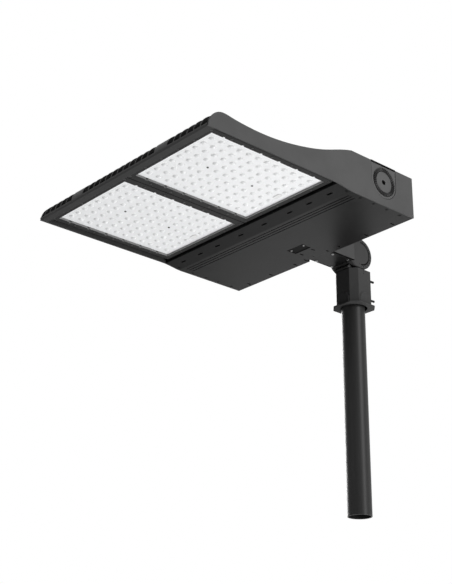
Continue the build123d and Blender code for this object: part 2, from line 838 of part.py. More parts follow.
# Frame screws: 22 small screws around each frame
with BuildPart() as frame_screws:
    with Locations(*[(x, y, frame_face) for x, y in frame_screw_places]):
        add(cap_screw(m3_head_radius, m3_head_height, m3_radius, base_bottom + m3_depth - frame_face))
save_pair(frame_screws.part, "frame_screws")

# Lens plates: a clear plate with a dome under each light
seal_row_place = lens_place(lens_screw_column, wire_row)
left_out = [(lens_screw_column, row) for row in lens_screw_rows + (wire_row,)]
lens_places = [
    lens_place(column, row)
    for column in range(lens_across)
    for row in range(lens_along)
    if (column, row) not in left_out
]
dome_radius = (lens_radius ** 2 + lens_rise ** 2) / (2 * lens_rise)
with BuildPart() as lens_dome:
    with BuildSketch(Plane.XZ):
        with BuildLine():
            ThreePointArc(
                (0, -lens_rise),
                (
                    lens_radius / 2,
                    dome_radius - lens_rise - sqrt(dome_radius ** 2 - (lens_radius / 2) ** 2),
                ),
                (lens_radius, 0),
            )
            Polyline((lens_radius, 0), (0, 0), (0, -lens_rise))
        make_face()
    revolve(axis=Axis.Z)
with BuildPart() as lens_plate:
    with BuildSketch(Plane.XY.offset(frame_step)):
        with Locations((panel_x, panel_y)):
            Rectangle(pocket_width - 2 * fit_gap, pocket_length - 2 * fit_gap)
    extrude(amount=lens_thickness)
    with Locations(*[(x, y, frame_step) for x, y in lens_places]):
        add(lens_dome.part)
    with BuildSketch(Plane.XY.offset(lens_top)):
        with Locations(*lens_screw_places):
            Circle(lens_post_radius)
    extrude(amount=board_bottom - lens_top)
    with BuildSketch(Plane.XY.offset(frame_step)):
        with Locations(*lens_screw_places):
            Circle(m3_radius + bolt_gap)
        with Locations(seal_row_place):
            SlotOverall(wire_seal_length + 2 * fit_gap, wire_seal_width + 2 * fit_gap)
    extrude(amount=board_bottom - frame_step, mode=Mode.SUBTRACT)
save_pair(lens_plate.part, "lens_plate")

with BuildPart() as lens_screws:
    with Locations(*[(x, y, frame_step) for x, y in lens_screw_places]):
        add(cap_screw(m3_head_radius, m3_head_height, m3_radius, base_bottom + m3_depth - frame_step))
save_pair(lens_screws.part, "lens_screws")

# Wire seals: potting that closes the place where the leads meet each board
with BuildPart() as wire_seal:
    with BuildSketch(Plane.XY.offset(frame_step - wire_seal_rise)):
        with Locations(seal_row_place):
            SlotOverall(wire_seal_length, wire_seal_width)
    extrude(amount=board_bottom - frame_step + wire_seal_rise)
    fillet(wire_seal.faces().sort_by(Axis.Z)[0].edges(), wire_seal_rise * 0.8)
save_pair(wire_seal.part, "wire_seal")

# Lens gaskets: a rubber ring on the rim of each lens plate
with BuildPart() as lens_gasket:
    with BuildSketch(Plane.XY.offset(lens_top)):
        with Locations((panel_x, panel_y)):
            Rectangle(pocket_width - 2 * fit_gap, pocket_length - 2 * fit_gap)
            Rectangle(window_width, window_length, mode=Mode.SUBTRACT)
    extrude(amount=base_bottom - lens_top)
save_pair(lens_gasket.part, "lens_gasket")

# Light boards: a board with one light above each lens
with BuildPart() as led_board:
    with BuildSketch(Plane.XY.offset(board_bottom)):
        with Locations((panel_x, panel_y)):
            Rectangle(window_width - 2 * board_gap, window_length - 2 * board_gap)
        with Locations(*lens_screw_places):
            Circle(m3_hole_radius, mode=Mode.SUBTRACT)
    extrude(amount=board_thickness)
    with BuildSketch(Plane.XY.offset(board_bottom)):
        with Locations(*lens_places):
            Rectangle(led_width, led_width)
    extrude(amount=-led_rise)
save_pair(led_board.part, "led_board")

# Side plates: the head's two outer sheets, notched for the yoke bosses
stud_places = [
    (y, rim + up)
    for y in (box_front + stud_front, head_rear - stud_rear)
    for up in (stud_low, stud_high)
]


def boss_outline(radius, top):
    """A tongue with a half-round lower end, open at the top."""
    with BuildSketch() as outline:
        with Locations((boss_centre_y, boss_centre_z)):
            Circle(radius)
            Rectangle(2 * radius, top - boss_centre_z, align=(Align.CENTER, Align.MIN))
            if radius > top - boss_centre_z:
                with Locations((0, top - boss_centre_z)):
                    Rectangle(2 * radius, 2 * radius, align=(Align.CENTER, Align.MIN), mode=Mode.SUBTRACT)
    return outline.sketch


with BuildPart() as side_plate:
    with BuildSketch(Plane.YZ.offset(plate_inner)):
        add(plate_outline(plate_nose, 0))
        add(boss_outline(boss_radius, box_top + boss_radius), mode=Mode.SUBTRACT)
    extrude(amount=side_plate_thickness)
    with BuildSketch(Plane.YZ.offset(plate_inner)):
        with Locations(*stud_places):
            Circle(stud_radius)
    extrude(amount=-stud_length)
save_pair(side_plate.part, "side_plate")

with BuildPart() as side_plate_nuts:
    for side in (-1, 1):
        with BuildSketch(Plane.YZ.offset(side * (plate_inner - housing_wall))):
            with Locations(*stud_places):
                RegularPolygon(nut_radius, 6)
                Circle(stud_radius + bolt_gap, mode=Mode.SUBTRACT)
        extrude(amount=-side * nut_thickness)
side_plate_nuts.part.label = "side_plate_nuts"
export_step(side_plate_nuts.part, "parts/side_plate_nuts.step")

# Yoke bosses: a block in each side plate's notch, with a toothed ring and a thread for a yoke
with BuildPart() as tooth_gap:
    with BuildSketch(Plane.YZ.offset(tooth_inner_radius - boss_rise)):
        with BuildLine():
            Polyline((-tooth_width / 2, 0), (tooth_width / 2, 0), (0, -tooth_depth), close=True)
        make_face()
    extrude(amount=tooth_outer_radius - tooth_inner_radius + 2 * boss_rise)
boss_seal_level = box_top - boss_seal_drop
with BuildPart() as yoke_boss:
    with BuildSketch(Plane.YZ.offset(plate_inner)):
        add(boss_outline(boss_radius - fit_gap, boss_seal_level))
    extrude(amount=side_plate_thickness)
    chamfer(yoke_boss.faces().sort_by(Axis.X)[-1].edges(), boss_bevel)
    with BuildSketch(Plane.YZ.offset(head_half_width)):
        with Locations((boss_centre_y, boss_centre_z)):
            Circle(tooth_outer_radius)
            Circle(tooth_inner_radius, mode=Mode.SUBTRACT)
    extrude(amount=boss_rise)
    ring_face = Plane(
        (head_half_width + boss_rise, boss_centre_y, boss_centre_z), x_dir=(0, 1, 0), z_dir=(1, 0, 0)
    )
    with Locations(ring_face):
        with PolarLocations(0, tooth_count):
            add(tooth_gap.part, mode=Mode.SUBTRACT)
    with BuildSketch(Plane.YZ.offset(plate_inner)):
        with Locations((boss_centre_y, boss_centre_z)):
            Circle(spigot_radius)
    extrude(amount=-spigot_length)
    with BuildSketch(Plane.YZ.offset(head_half_width)):
        with Locations((boss_centre_y, boss_centre_z)):
            Circle(yoke_thread_radius)
    extrude(amount=-yoke_thread_depth, mode=Mode.SUBTRACT)
    with BuildSketch(Plane.YZ.offset(head_half_width)):
        with Locations((boss_centre_y, boss_centre_z)):
            Circle(yoke_thread_radius + yoke_thread_bevel)
    extrude(amount=-yoke_thread_bevel, taper=45, mode=Mode.SUBTRACT)
save_pair(yoke_boss.part, "yoke_boss")

# Boss seals: a rubber strip on the top of each boss
with BuildPart() as boss_seals:
    with BuildSketch(Plane.XY.offset(boss_seal_level)):
        with Locations(*[
            (side * (plate_inner + side_plate_thickness / 2), boss_centre_y) for side in (-1, 1)
        ]):
            Rectangle(side_plate_thickness, 2 * (boss_radius - fit_gap))
    extrude(amount=boss_seal_drop + boss_seal_rise)
boss_seals.part.label = "boss_seals"
export_step(boss_seals.part, "parts/boss_seals.step")

with BuildPart() as boss_lock_rings:
    for side in (-1, 1):
        with BuildSketch(Plane.YZ.offset(side * (plate_inner - housing_wall))):
            with Locations((boss_centre_y, boss_centre_z)):
                Circle(lock_ring_radius)
                Circle(spigot_radius + fit_gap, mode=Mode.SUBTRACT)
        extrude(amount=-side * lock_ring_thickness)
boss_lock_rings.part.label = "boss_lock_rings"
export_step(boss_lock_rings.part, "parts/boss_lock_rings.step")


def cover_strip(lift, thickness):
    """A strip in (y, z) that follows the driver cover: a slope at the front, then level."""
    with BuildSketch() as strip:
        with BuildLine():
            Polyline(
                (box_front, rim + lift),
                (box_front + cover_slope, box_bottom + lift),
                (head_rear, box_bottom + lift),
                (head_rear, box_bottom + lift + thickness),
                (box_front + cover_slope, box_bottom + lift + thickness),
                (box_front, rim + lift + thickness),
                close=True,
            )
        make_face()
    return strip.sketch


# Driver housing: a box with a roof and four walls, open below, with a flange along each side
cover_screw_places = [
    (side * (plate_inner - cover_screw_edge), head_rear - cover_screw_rear - n * cover_screw_pitch)
    for side in (-1, 1)
    for n in range(cover_screw_count)
]
access_screw_places = [
    (access_place[0] + offset, head_rear - access_place[1] - access_screw_y)
    for offset in (-access_screw_x, access_screw_x)
]
driver_y = box_front + cover_slope + driver_front_gap + driver_width / 2
ear_x = driver_length / 2 - driver_ear / 2
driver_screw_places = [
    (side * driver_x + end * ear_x, driver_y) for side in (-1, 1) for end in (-1, 1)
]
cover_stack = cover_thickness + cover_gasket_thickness
roof_top = box_top - housing_inset
with BuildPart() as driver_housing:
    with BuildSketch(Plane.YZ.offset(-plate_inner)):
        with BuildLine():
            Polyline(
                (box_front, rim + cover_stack),
                (box_front, rim + box_height * housing_front_share),
                (box_front + cover_slope, roof_top),
                (head_rear, roof_top),
                (head_rear, housing_bottom),
                (box_front + cover_slope, housing_bottom),
                close=True,
            )
        make_face()
    extrude(amount=2 * plate_inner)
    with BuildSketch(Plane.YZ.offset(-plate_inner + housing_wall)):
        with BuildLine():
            Polyline(
                (box_front + housing_wall, housing_bottom + flange_depth),
                (box_front + housing_wall, rim + box_height * housing_front_share - housing_roof),
                (box_front + cover_slope, roof_under),
                (head_rear - housing_wall, roof_under),
                (head_rear - housing_wall, housing_bottom + flange_depth),
                close=True,
            )
        make_face()
    extrude(amount=2 * (plate_inner - housing_wall), mode=Mode.SUBTRACT)
    with BuildSketch(Plane.XY.offset(box_bottom)):
        with Locations((0, head_rear - housing_wall)):
            Rectangle(
                2 * (plate_inner - housing_flange),
                box_length - 2 * housing_wall,
                align=(Align.CENTER, Align.MAX),
            )
    extrude(amount=housing_bottom + 2 * flange_depth - box_bottom, mode=Mode.SUBTRACT)
    with BuildSketch(Plane.XZ.offset(-head_rear)):
        with Locations(*arm_bolt_places):
            Circle(arm_bolt_radius + bolt_gap)
        with Locations((0, pivot_z)):
            Circle(arm_wire_radius)
        with Locations((arm_cover_middle, cover_shelf + slide_gap)):
            Rectangle(arm_cover_width + 2 * slide_gap, box_height, align=(Align.CENTER, Align.MAX))
    extrude(amount=housing_wall, mode=Mode.SUBTRACT)
    with BuildSketch(Plane.XZ.offset(-box_front)):
        with Locations(*box_bolt_places):
            Circle(knuckle_bolt_radius + bolt_gap)
        with Locations(*[(side * block_x, rim + lead_height) for side in (-1, 1)]):
            Circle(lead_radius + grommet_wall)
    extrude(amount=-housing_wall, mode=Mode.SUBTRACT)
    for side in (-1, 1):
        with BuildSketch(Plane.YZ.offset(side * plate_inner)):
            with Locations((boss_centre_y, boss_centre_z)):
                Circle(spigot_radius + fit_gap)
            with Locations(*stud_places):
                Circle(stud_radius + fit_gap)
        extrude(amount=-side * housing_wall, mode=Mode.SUBTRACT)
    with BuildSketch(Plane.XY.offset(housing_bottom)):
        with Locations(*cover_screw_places):
            Circle(m4_radius + bolt_gap)
    extrude(amount=flange_depth, mode=Mode.SUBTRACT)
    with BuildSketch(Plane.XY.offset(roof_under)):
        with Locations(*driver_screw_places):
            Circle(m4_radius + bolt_gap)
    extrude(amount=driver_screw_depth, mode=Mode.SUBTRACT)
driver_housing.part.label = "driver_housing"
export_step(driver_housing.part, "parts/driver_housing.step")


def open_edges(lift, thickness):
    """The strip across the head, with the notch that lets the arm cover's tab in."""
    with BuildPart() as sheet:
        with BuildSketch(Plane.YZ.offset(-plate_inner)):
            add(cover_strip(lift, thickness))
        extrude(amount=2 * plate_inner)
        with BuildSketch(Plane.XY.offset(box_bottom)):
            with Locations((0, head_rear)):
                Rectangle(2 * notch_half_width, notch_depth, align=(Align.CENTER, Align.MAX))
        extrude(amount=2 * cover_stack, mode=Mode.SUBTRACT)
    return sheet.part


# Driver cover: the sheet below the driver box, with its slots, grooves, screws and access recess
access_x, access_y = access_place[0], head_rear - access_place[1]
with BuildPart() as driver_cover:
    add(open_edges(0, cover_thickness))
    with BuildSketch(Plane.XY.offset(box_bottom)):
        for side in (-1, 1):
            with Locations(*[(side * x, box_front + cover_slot_y) for x in cover_slot_places]):
                SlotOverall(cover_slot_length, cover_slot_width)
            with Locations(*[(side * x, head_rear - rear_slot_y) for x in rear_slot_places]):
                SlotOverall(rear_slot_length, rear_slot_width, rotation=90)
            with Locations((side * inner_slot_x, head_rear - inner_slot_y)):
                SlotOverall(rear_slot_length, rear_slot_width, rotation=90)
        with Locations((drain_place[0], head_rear - drain_place[1])):
            Circle(drain_radius)
        with Locations(*cover_screw_places):
            Circle(m4_hole_radius)
        with Locations((access_x, access_y)):
            Rectangle(2 * (access_half_width - access_window_edge), access_half_length)
    extrude(amount=cover_thickness + box_drop, mode=Mode.SUBTRACT)
    with BuildSketch(Plane.XY.offset(box_bottom)):
        with Locations(*cover_screw_places):
            Circle(m4_counterbore_radius)
    extrude(amount=cover_counterbore_depth, mode=Mode.SUBTRACT)
    with BuildSketch(Plane.XY.offset(box_bottom)):
        with Locations((access_x, access_y)):
            Rectangle(2 * (access_half_width + slide_gap), 2 * (access_half_length + slide_gap))
    extrude(amount=access_recess + access_thickness, mode=Mode.SUBTRACT)
    with BuildSketch(Plane.XY.offset(box_bottom)):
        with Locations(*[(0, box_front + back) for back in groove_places]):
            SlotOverall(2 * groove_half_length, groove_width)
    extrude(amount=groove_depth, mode=Mode.SUBTRACT)
    with BuildSketch(Plane.XY.offset(box_bottom)):
        with Locations(*access_screw_places):
            Circle(m3_radius + bolt_gap)
    extrude(amount=cover_thickness, mode=Mode.SUBTRACT)
driver_cover.part.label = "driver_cover"
export_step(driver_cover.part, "parts/driver_cover.step")

with BuildPart() as cover_gasket:
    add(open_edges(cover_thickness, cover_gasket_thickness))
    with BuildSketch(Plane.XY.offset(box_bottom)):
        with Locations((0, head_rear - housing_wall)):
            Rectangle(
                2 * (plate_inner - housing_flange),
                box_length - 2 * housing_wall,
                align=(Align.CENTER, Align.MAX),
            )
        with Locations(*cover_screw_places):
            Circle(m4_hole_radius)
    extrude(amount=2 * cover_stack, mode=Mode.SUBTRACT)
cover_gasket.part.label = "cover_gasket"
export_step(cover_gasket.part, "parts/cover_gasket.step")

with BuildPart() as driver_cover_screws:
    with Locations(*[(x, y, seat_level) for x, y in cover_screw_places]):
        add(cap_screw(m4_head_radius, m4_head_height, m4_radius, housing_bottom + flange_depth - seat_level))
driver_cover_screws.part.label = "driver_cover_screws"
export_step(driver_cover_screws.part, "parts/driver_cover_screws.step")

# Access cover: a small plate in a recess below the terminal block
access_level = box_bottom + access_recess
with BuildPart() as access_cover:
    with BuildSketch(Plane.XY.offset(access_level)):
        with Locations((access_x, access_y)):
            Rectangle(2 * access_half_width, 2 * access_half_length)
        with Locations(*access_screw_places):
            Circle(m3_hole_radius, mode=Mode.SUBTRACT)
    extrude(amount=access_thickness)
access_cover.part.label = "access_cover"
export_step(access_cover.part, "parts/access_cover.step")

with BuildPart() as access_cover_screws:
    with Locations(*[(x, y, access_level) for x, y in access_screw_places]):
        add(cap_screw(
            m3_head_radius, m3_head_height, m3_radius, box_bottom + cover_thickness - access_level
        ))
access_cover_screws.part.label = "access_cover_screws"
export_step(access_cover_screws.part, "parts/access_cover_screws.step")

# Drivers: two power supplies hung from the roof by their ears
with BuildPart() as led_driver:
    with BuildSketch(Plane.XY.offset(roof_under)):
        with Locations((driver_x, driver_y)):
            Rectangle(driver_length, driver_width)
        with Locations(*driver_screw_places):
            Circle(m4_hole_radius, mode=Mode.SUBTRACT)
    extrude(amount=-driver_ear_thickness)
    with BuildSketch(Plane.XY.offset(roof_under)):
        with Locations((driver_x, driver_y)):
            Rectangle(driver_length - 2 * driver_ear, driver_width)
    extrude(amount=-driver_height)
save_pair(led_driver.part, "led_driver")

with BuildPart() as driver_screws:
    with Locations(*[(x, y, roof_under - driver_ear_thickness) for x, y in driver_screw_places]):
        add(cap_screw(m4_head_radius, m4_head_height, m4_radius, driver_ear_thickness + driver_screw_depth))
driver_screws.part.label = "driver_screws"
export_step(driver_screws.part, "parts/driver_screws.step")

# Terminal block above the access cover, hung from the roof
with BuildPart() as terminal_block:
    with BuildSketch(Plane.XY.offset(roof_under)):
        with Locations((access_x, terminal_y)):
            Rectangle(terminal_length, terminal_width)
    extrude(amount=-terminal_height)
    with BuildSketch(Plane.XY.offset(roof_under - terminal_height)):
        with Locations((access_x, terminal_y)):
            with GridLocations(terminal_length / terminal_slots, 0, terminal_slots, 1):
                Rectangle(terminal_slot, terminal_width / 2)
    extrude(amount=terminal_slot, mode=Mode.SUBTRACT)
terminal_block.part.label = "terminal_block"
export_step(terminal_block.part, "parts/terminal_block.step")

# Surge protector beside the terminal block, hung from the roof
with BuildPart() as surge_protector:
    with BuildSketch(Plane.XY.offset(roof_under)):
        with Locations((surge_x, terminal_y)):
            Rectangle(surge_length, surge_width)
    extrude(amount=-surge_height)
    fillet(surge_protector.edges().filter_by(Axis.Z), surge_width / 10)
surge_protector.part.label = "surge_protector"
export_step(surge_protector.part, "parts/surge_protector.step")

# Lead grommets in the housing's front wall, flanged on the inside
lead_z = rim + lead_height
with BuildPart() as lead_grommet:
    with BuildSketch(Plane.XZ.offset(-box_front)):
        with Locations((block_x, lead_z)):
            Circle(lead_radius + grommet_wall - bolt_gap)
            Circle(lead_radius + bolt_gap, mode=Mode.SUBTRACT)
    extrude(amount=-housing_wall)
    with BuildSketch(Plane.XZ.offset(-box_front - housing_wall)):
        with Locations((block_x, lead_z)):
            Circle(lead_radius + 2 * grommet_wall)
            Circle(lead_radius + bolt_gap, mode=Mode.SUBTRACT)
    extrude(amount=-grommet_flange)
save_pair(lead_grommet.part, "lead_grommet")

# Board leads: from each driver, through the grommet, down to the back of the board
driver_bottom = roof_under - driver_height
driver_face = driver_y - driver_width / 2
with BuildPart() as board_lead:
    with BuildLine() as route:
        FilletPolyline(
            (block_x, driver_face, driver_bottom + driver_height / 2),
            (block_x, driver_face - driver_front_gap, driver_bottom + driver_height / 2),
            (block_x, box_front + cover_slope / 2, lead_z),
            (block_x, board_y, lead_z),
            (block_x, board_y, base_bottom),
            radius=lead_bend,
        )
    with BuildSketch(Plane(route.wire() @ 0, z_dir=route.wire() % 0)):
        Circle(lead_radius)
    sweep(path=route.wire())
save_pair(board_lead.part, "board_lead")
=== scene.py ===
import bpy
from math import atan, cos, radians, sin
from mathutils import Matrix, Vector


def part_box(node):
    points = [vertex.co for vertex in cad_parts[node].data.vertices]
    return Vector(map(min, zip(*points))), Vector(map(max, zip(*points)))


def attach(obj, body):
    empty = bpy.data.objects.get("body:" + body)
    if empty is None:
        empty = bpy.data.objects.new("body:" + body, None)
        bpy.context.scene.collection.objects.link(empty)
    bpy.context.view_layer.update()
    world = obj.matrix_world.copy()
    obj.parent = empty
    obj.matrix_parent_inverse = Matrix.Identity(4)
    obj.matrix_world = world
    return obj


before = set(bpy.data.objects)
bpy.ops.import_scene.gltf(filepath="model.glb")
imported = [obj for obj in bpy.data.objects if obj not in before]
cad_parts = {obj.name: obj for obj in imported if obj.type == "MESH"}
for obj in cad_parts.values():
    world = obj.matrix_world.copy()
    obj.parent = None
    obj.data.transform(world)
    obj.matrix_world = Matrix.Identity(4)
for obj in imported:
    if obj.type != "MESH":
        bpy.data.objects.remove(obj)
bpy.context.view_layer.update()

# Camera, from the photo's vanishing lines. The photo is 452 by 584 pixels.
camera_place = (2.003, -2.1876, -0.6206)
camera_yaw = 48.77
camera_pitch = 22.12
camera_roll = 0.48
focal_pixels = 1239.2
photo_height = 584
sensor_size = 36.0

# Lens panels, in metres
lens_pitch = 0.0265
lens_across = 9
lens_along = 12
lens_column_left_out = 4
lens_rows_left_out = (3, 8, 11)
window_margin = 0.006

# Lens caps, in metres, and how many rings and sides each one's mesh has
lens_base_radius = 0.0078
lens_rise = 0.0030
lens_rings = 7
lens_sides = 28

# Painted shade on each cap: a darker copy of the plastic on its outer rings, on the side turned away from
# the camera
limb_rings = 2
limb_side = (-0.752, 0.659)
limb_reach = 0.25

# How much of a cap's roundness its shading shows
lens_modelling = 0.15

# Painted shade in crevices and painted highlight on rounded edges of the coats
crevice_reach = 0.012
crevice_start = 0.40
crevice_end = 0.72
edge_match = 0.80

# Painted shade for the angle scale's slot and notches round the tilt pivot and for the toothed ring round
# the yoke boss, in metres
scale_centre = (-0.006, 0.675)
scale_radius = 0.031
scale_width = 0.0034
scale_skin = 0.0008
tick_radius = 0.0362
tick_length = 0.0036
tick_count = 24
tick_share = 0.22
boss_centre = (-0.217, 0.704)
tooth_radius = 0.031
tooth_length = 0.010
tooth_count = 40
tooth_share = 0.45

# Studio
floor_height = -1.6
floor_half_size = 14.0
background = (1.0, 1.0, 1.0, 1.0)


def srgb(*levels):
    """Colour from 0-255 levels as they show on a screen."""
    values = [level / 255 for level in levels]
    if len(values) == 1:
        values = values * 3
    return [v / 12.92 if v <= 0.04045 else ((v + 0.055) / 1.055) ** 2.4 for v in values] + [1.0]


def new_material(name):
    """A material with its node tree, its node builder and its surface shader."""
    material = bpy.data.materials.new(name)
    material.use_nodes = True
    tree = material.node_tree
    shader = tree.nodes["Principled BSDF"]
    return material, tree, shader


def link(tree, source, target):
    """Join two sockets."""
    tree.links.new(source, target)


def noise(tree, scale, detail=3.0, stretch=(1.0, 1.0, 1.0)):
    """Noise over the object's own coordinates, in metres."""
    place = tree.nodes.new("ShaderNodeTexCoord")
    mapping = tree.nodes.new("ShaderNodeMapping")
    mapping.inputs["Scale"].default_value = stretch
    texture = tree.nodes.new("ShaderNodeTexNoise")
    texture.inputs["Scale"].default_value = scale
    texture.inputs["Detail"].default_value = detail
    link(tree, place.outputs["Object"], mapping.inputs["Vector"])
    link(tree, mapping.outputs["Vector"], texture.inputs["Vector"])
    return texture


def ramp(tree, source, low, high, start=0.35, end=0.65):
    """Two colours or values spread over a source from start to end."""
    node = tree.nodes.new("ShaderNodeValToRGB")
    node.color_ramp.elements[0].position = start
    node.color_ramp.elements[1].position = end
    node.color_ramp.elements[0].color = low
    node.color_ramp.elements[1].color = high
    link(tree, source, node.inputs["Fac"])
    return node


def spread_value(tree, source, low, high):
    """A value spread over a source that runs from 0 to 1."""
    node = tree.nodes.new("ShaderNodeMapRange")
    node.inputs["To Min"].default_value = low
    node.inputs["To Max"].default_value = high
    link(tree, source, node.inputs["Value"])
    return node.outputs["Result"]


def tint(colour, factor):
    """A colour made darker or lighter by a factor."""
    return [min(1.0, c * factor) for c in colour[:3]] + [1.0]


def multiply(tree, first, second):
    """One colour darkened or lightened by another."""
    node = tree.nodes.new("ShaderNodeMix")
    node.data_type = "RGBA"
    node.blend_type = "MULTIPLY"
    node.inputs["Factor"].default_value = 1.0
    link(tree, first, node.inputs["A"])
    link(tree, second, node.inputs["B"])
    return node.outputs["Result"]


def crevice_shade(tree, reach, start, end):
    """Painted shade: black deep in slots, seams and gaps, white on open faces."""
    depth = tree.nodes.new("ShaderNodeAmbientOcclusion")
    depth.samples = 6
    depth.inputs["Distance"].default_value = reach
    shade = ramp(tree, depth.outputs["AO"], srgb(0), srgb(255), start, end)
    return shade.outputs["Color"]


def coat(name, level, roughness, grain=0.00012, edge=0.0008, specular=0.06, edge_highlight=1.5):
    """Powder coat: fine grain, cloudy colour, painted shade in crevices, and a painted highlight that
    lightens rounded edges.
    """
    material, tree, shader = new_material(name)
    clouds = noise(tree, 14.0, 4.0)
    colour = ramp(tree, clouds.outputs["Fac"], tint(srgb(*level), 0.94), tint(srgb(*level), 1.06))
    # Painted shade: colour darkened where a point is closed in by slots, seams and gaps
    depth = crevice_shade(tree, crevice_reach, crevice_start, crevice_end)
    shaded = multiply(tree, colour.outputs["Color"], depth)
    speckle = noise(tree, 900.0, 2.0)
    rough = spread_value(tree, speckle.outputs["Fac"], roughness - 0.05, roughness + 0.05)
    link(tree, rough, shader.inputs["Roughness"])
    # Gloss is dimmed in the same places, as part of the painted shade
    link(tree, spread_value(tree, depth, 0.0, specular), shader.inputs["Specular IOR Level"])
    rounding = tree.nodes.new("ShaderNodeBevel")
    rounding.samples = 6
    rounding.inputs["Radius"].default_value = edge
    flat = tree.nodes.new("ShaderNodeNewGeometry")
    match = tree.nodes.new("ShaderNodeVectorMath")
    match.operation = "DOT_PRODUCT"
    link(tree, rounding.outputs["Normal"], match.inputs[0])
    link(tree, flat.outputs["Normal"], match.inputs[1])
    # Painted highlight: colour lightened on rounded edges, by up to the given factor
    painted_edge_highlight = spread_value(tree, match.outputs["Value"], edge_highlight, 1.0)
    painted_edge_highlight.node.inputs["From Min"].default_value = edge_match
    finished = tree.nodes.new("ShaderNodeVectorMath")
    finished.operation = "SCALE"
    link(tree, shaded, finished.inputs["Vector"])
    link(tree, painted_edge_highlight, finished.inputs["Scale"])
    link(tree, finished.outputs["Vector"], shader.inputs["Base Color"])
    bump = tree.nodes.new("ShaderNodeBump")
    bump.inputs["Distance"].default_value = grain
    bump.inputs["Strength"].default_value = 0.5
    link(tree, speckle.outputs["Fac"], bump.inputs["Height"])
    link(tree, rounding.outputs["Normal"], bump.inputs["Normal"])
    link(tree, bump.outputs["Normal"], shader.inputs["Normal"])
    return material


def compare(tree, source, middle, half):
    """One where a value lies within half of the middle, zero elsewhere."""
    node = tree.nodes.new("ShaderNodeMath")
    node.operation = "COMPARE"
    node.inputs[1].default_value = middle
    node.inputs[2].default_value = half
    link(tree, source, node.inputs[0])
    return node.outputs["Value"]


def both_of(tree, first, second):
    """One where both masks are one."""
    node = tree.nodes.new("ShaderNodeMath")
    node.operation = "MULTIPLY"
    link(tree, first, node.inputs[0])
    link(tree, second, node.inputs[1])
    return node.outputs["Value"]


def round_axis(tree, centre):
    """Distance from an axis along X, with the place and the turn round it."""
    place = tree.nodes.new("ShaderNodeTexCoord")
    spot = tree.nodes.new("ShaderNodeVectorMath")
    spot.operation = "SUBTRACT"
    spot.inputs[1].default_value = (0.0, *centre)
    link(tree, place.outputs["Object"], spot.inputs[0])
    flat = tree.nodes.new("ShaderNodeVectorMath")
    flat.operation = "MULTIPLY"
    flat.inputs[1].default_value = (0.0, 1.0, 1.0)
    link(tree, spot.outputs["Vector"], flat.inputs[0])
    reach = tree.nodes.new("ShaderNodeVectorMath")
    reach.operation = "LENGTH"
    link(tree, flat.outputs["Vector"], reach.inputs[0])
    parts = tree.nodes.new("ShaderNodeSeparateXYZ")
    link(tree, spot.outputs["Vector"], parts.inputs["Vector"])
    turn = tree.nodes.new("ShaderNodeMath")
    turn.operation = "ARCTAN2"
    link(tree, parts.outputs["Z"], turn.inputs[0])
    link(tree, parts.outputs["Y"], turn.inputs[1])
    return reach.outputs["Value"], parts, turn.outputs["Value"]


def marks_round(tree, turn, count, share):
    """Marks repeated round an axis, each taking a share of its step."""
    steps = tree.nodes.new("ShaderNodeMath")
    steps.operation = "PINGPONG"
    steps.inputs[1].default_value = radians(180 / count)
    link(tree, turn, steps.inputs[0])
    return compare(tree, steps.outputs["Value"], 0.0, radians(180 / count) * share)


def paint_where(material, mask, colour):
    """Paint over a material's colour where the mask is one."""
    tree = material.node_tree
    shader = tree.nodes["Principled BSDF"]
    base = shader.inputs["Base Color"].links[0].from_socket
    mix = tree.nodes.new("ShaderNodeMix")
    mix.data_type = "RGBA"
    mix.inputs["B"].default_value = colour
    link(tree, mask, mix.inputs["Factor"])
    link(tree, base, mix.inputs["A"])
    link(tree, mix.outputs["Result"], shader.inputs["Base Color"])


def painted_lit_walls(material, pale):
    """Painted light on the upright walls of each frame's window: a pale band standing for light thrown back
    onto them by the lenses.
    """
    low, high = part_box("led_board_right")
    tree = material.node_tree
    place = tree.nodes.new("ShaderNodeTexCoord")
    facing = tree.nodes.new("ShaderNodeSeparateXYZ")
    link(tree, place.outputs["Normal"], facing.inputs["Vector"])
    spot = tree.nodes.new("ShaderNodeSeparateXYZ")
    link(tree, place.outputs["Object"], spot.inputs["Vector"])
    side = tree.nodes.new("ShaderNodeMath")
    side.operation = "ABSOLUTE"
    link(tree, spot.outputs["X"], side.inputs[0])
    across = compare(
        tree, side.outputs["Value"], (low[0] + high[0]) / 2, (high[0] - low[0]) / 2 + window_margin
    )
    along = compare(tree, spot.outputs["Y"], (low[1] + high[1]) / 2, (high[1] - low[1]) / 2 + window_margin)
    upright = compare(tree, facing.outputs["Z"], 0.0, 0.5)
    wall = both_of(tree, both_of(tree, across, along), upright)
    paint_where(material, wall, pale)


def painted_scale_shade(material):
    """The half-round slot and the tick marks on the knuckle's cheeks, in dark paint as painted shade
    standing for the shade inside the slot and notches.
    """
    tree = material.node_tree
    reach, parts, turn = round_axis(tree, scale_centre)
    side = tree.nodes.new("ShaderNodeMath")
    side.operation = "ABSOLUTE"
    link(tree, parts.outputs["X"], side.inputs[0])
    cheek = compare(tree, side.outputs["Value"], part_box("knuckle_yoke")[1][0], scale_skin)
    rear = both_of(tree, cheek, compare(tree, parts.outputs["Y"], scale_radius, scale_radius))
    slot = both_of(tree, rear, compare(tree, reach, scale_radius, scale_width / 2))
    ring = both_of(tree, rear, compare(tree, reach, tick_radius, tick_length / 2))
    # Painted shade: the slot and the tick notches painted near black, standing for the shade inside them
    paint_where(material, slot, srgb(6))
    paint_where(material, both_of(tree, ring, marks_round(tree, turn, tick_count, tick_share)), srgb(6))


def painted_tooth_shade(material):
    """The toothed ring on each yoke boss as painted shade: darker over the ring for its shaded facets,
    black between its teeth for the shade in the grooves.
    """
    tree = material.node_tree
    reach, parts, turn = round_axis(tree, boss_centre)
    ring = compare(tree, reach, tooth_radius, tooth_length / 2)
    # Painted shade: the ring darkened, and black between the teeth
    paint_where(material, ring, srgb(34))
    paint_where(material, both_of(tree, ring, marks_round(tree, turn, tooth_count, tooth_share)), srgb(4))


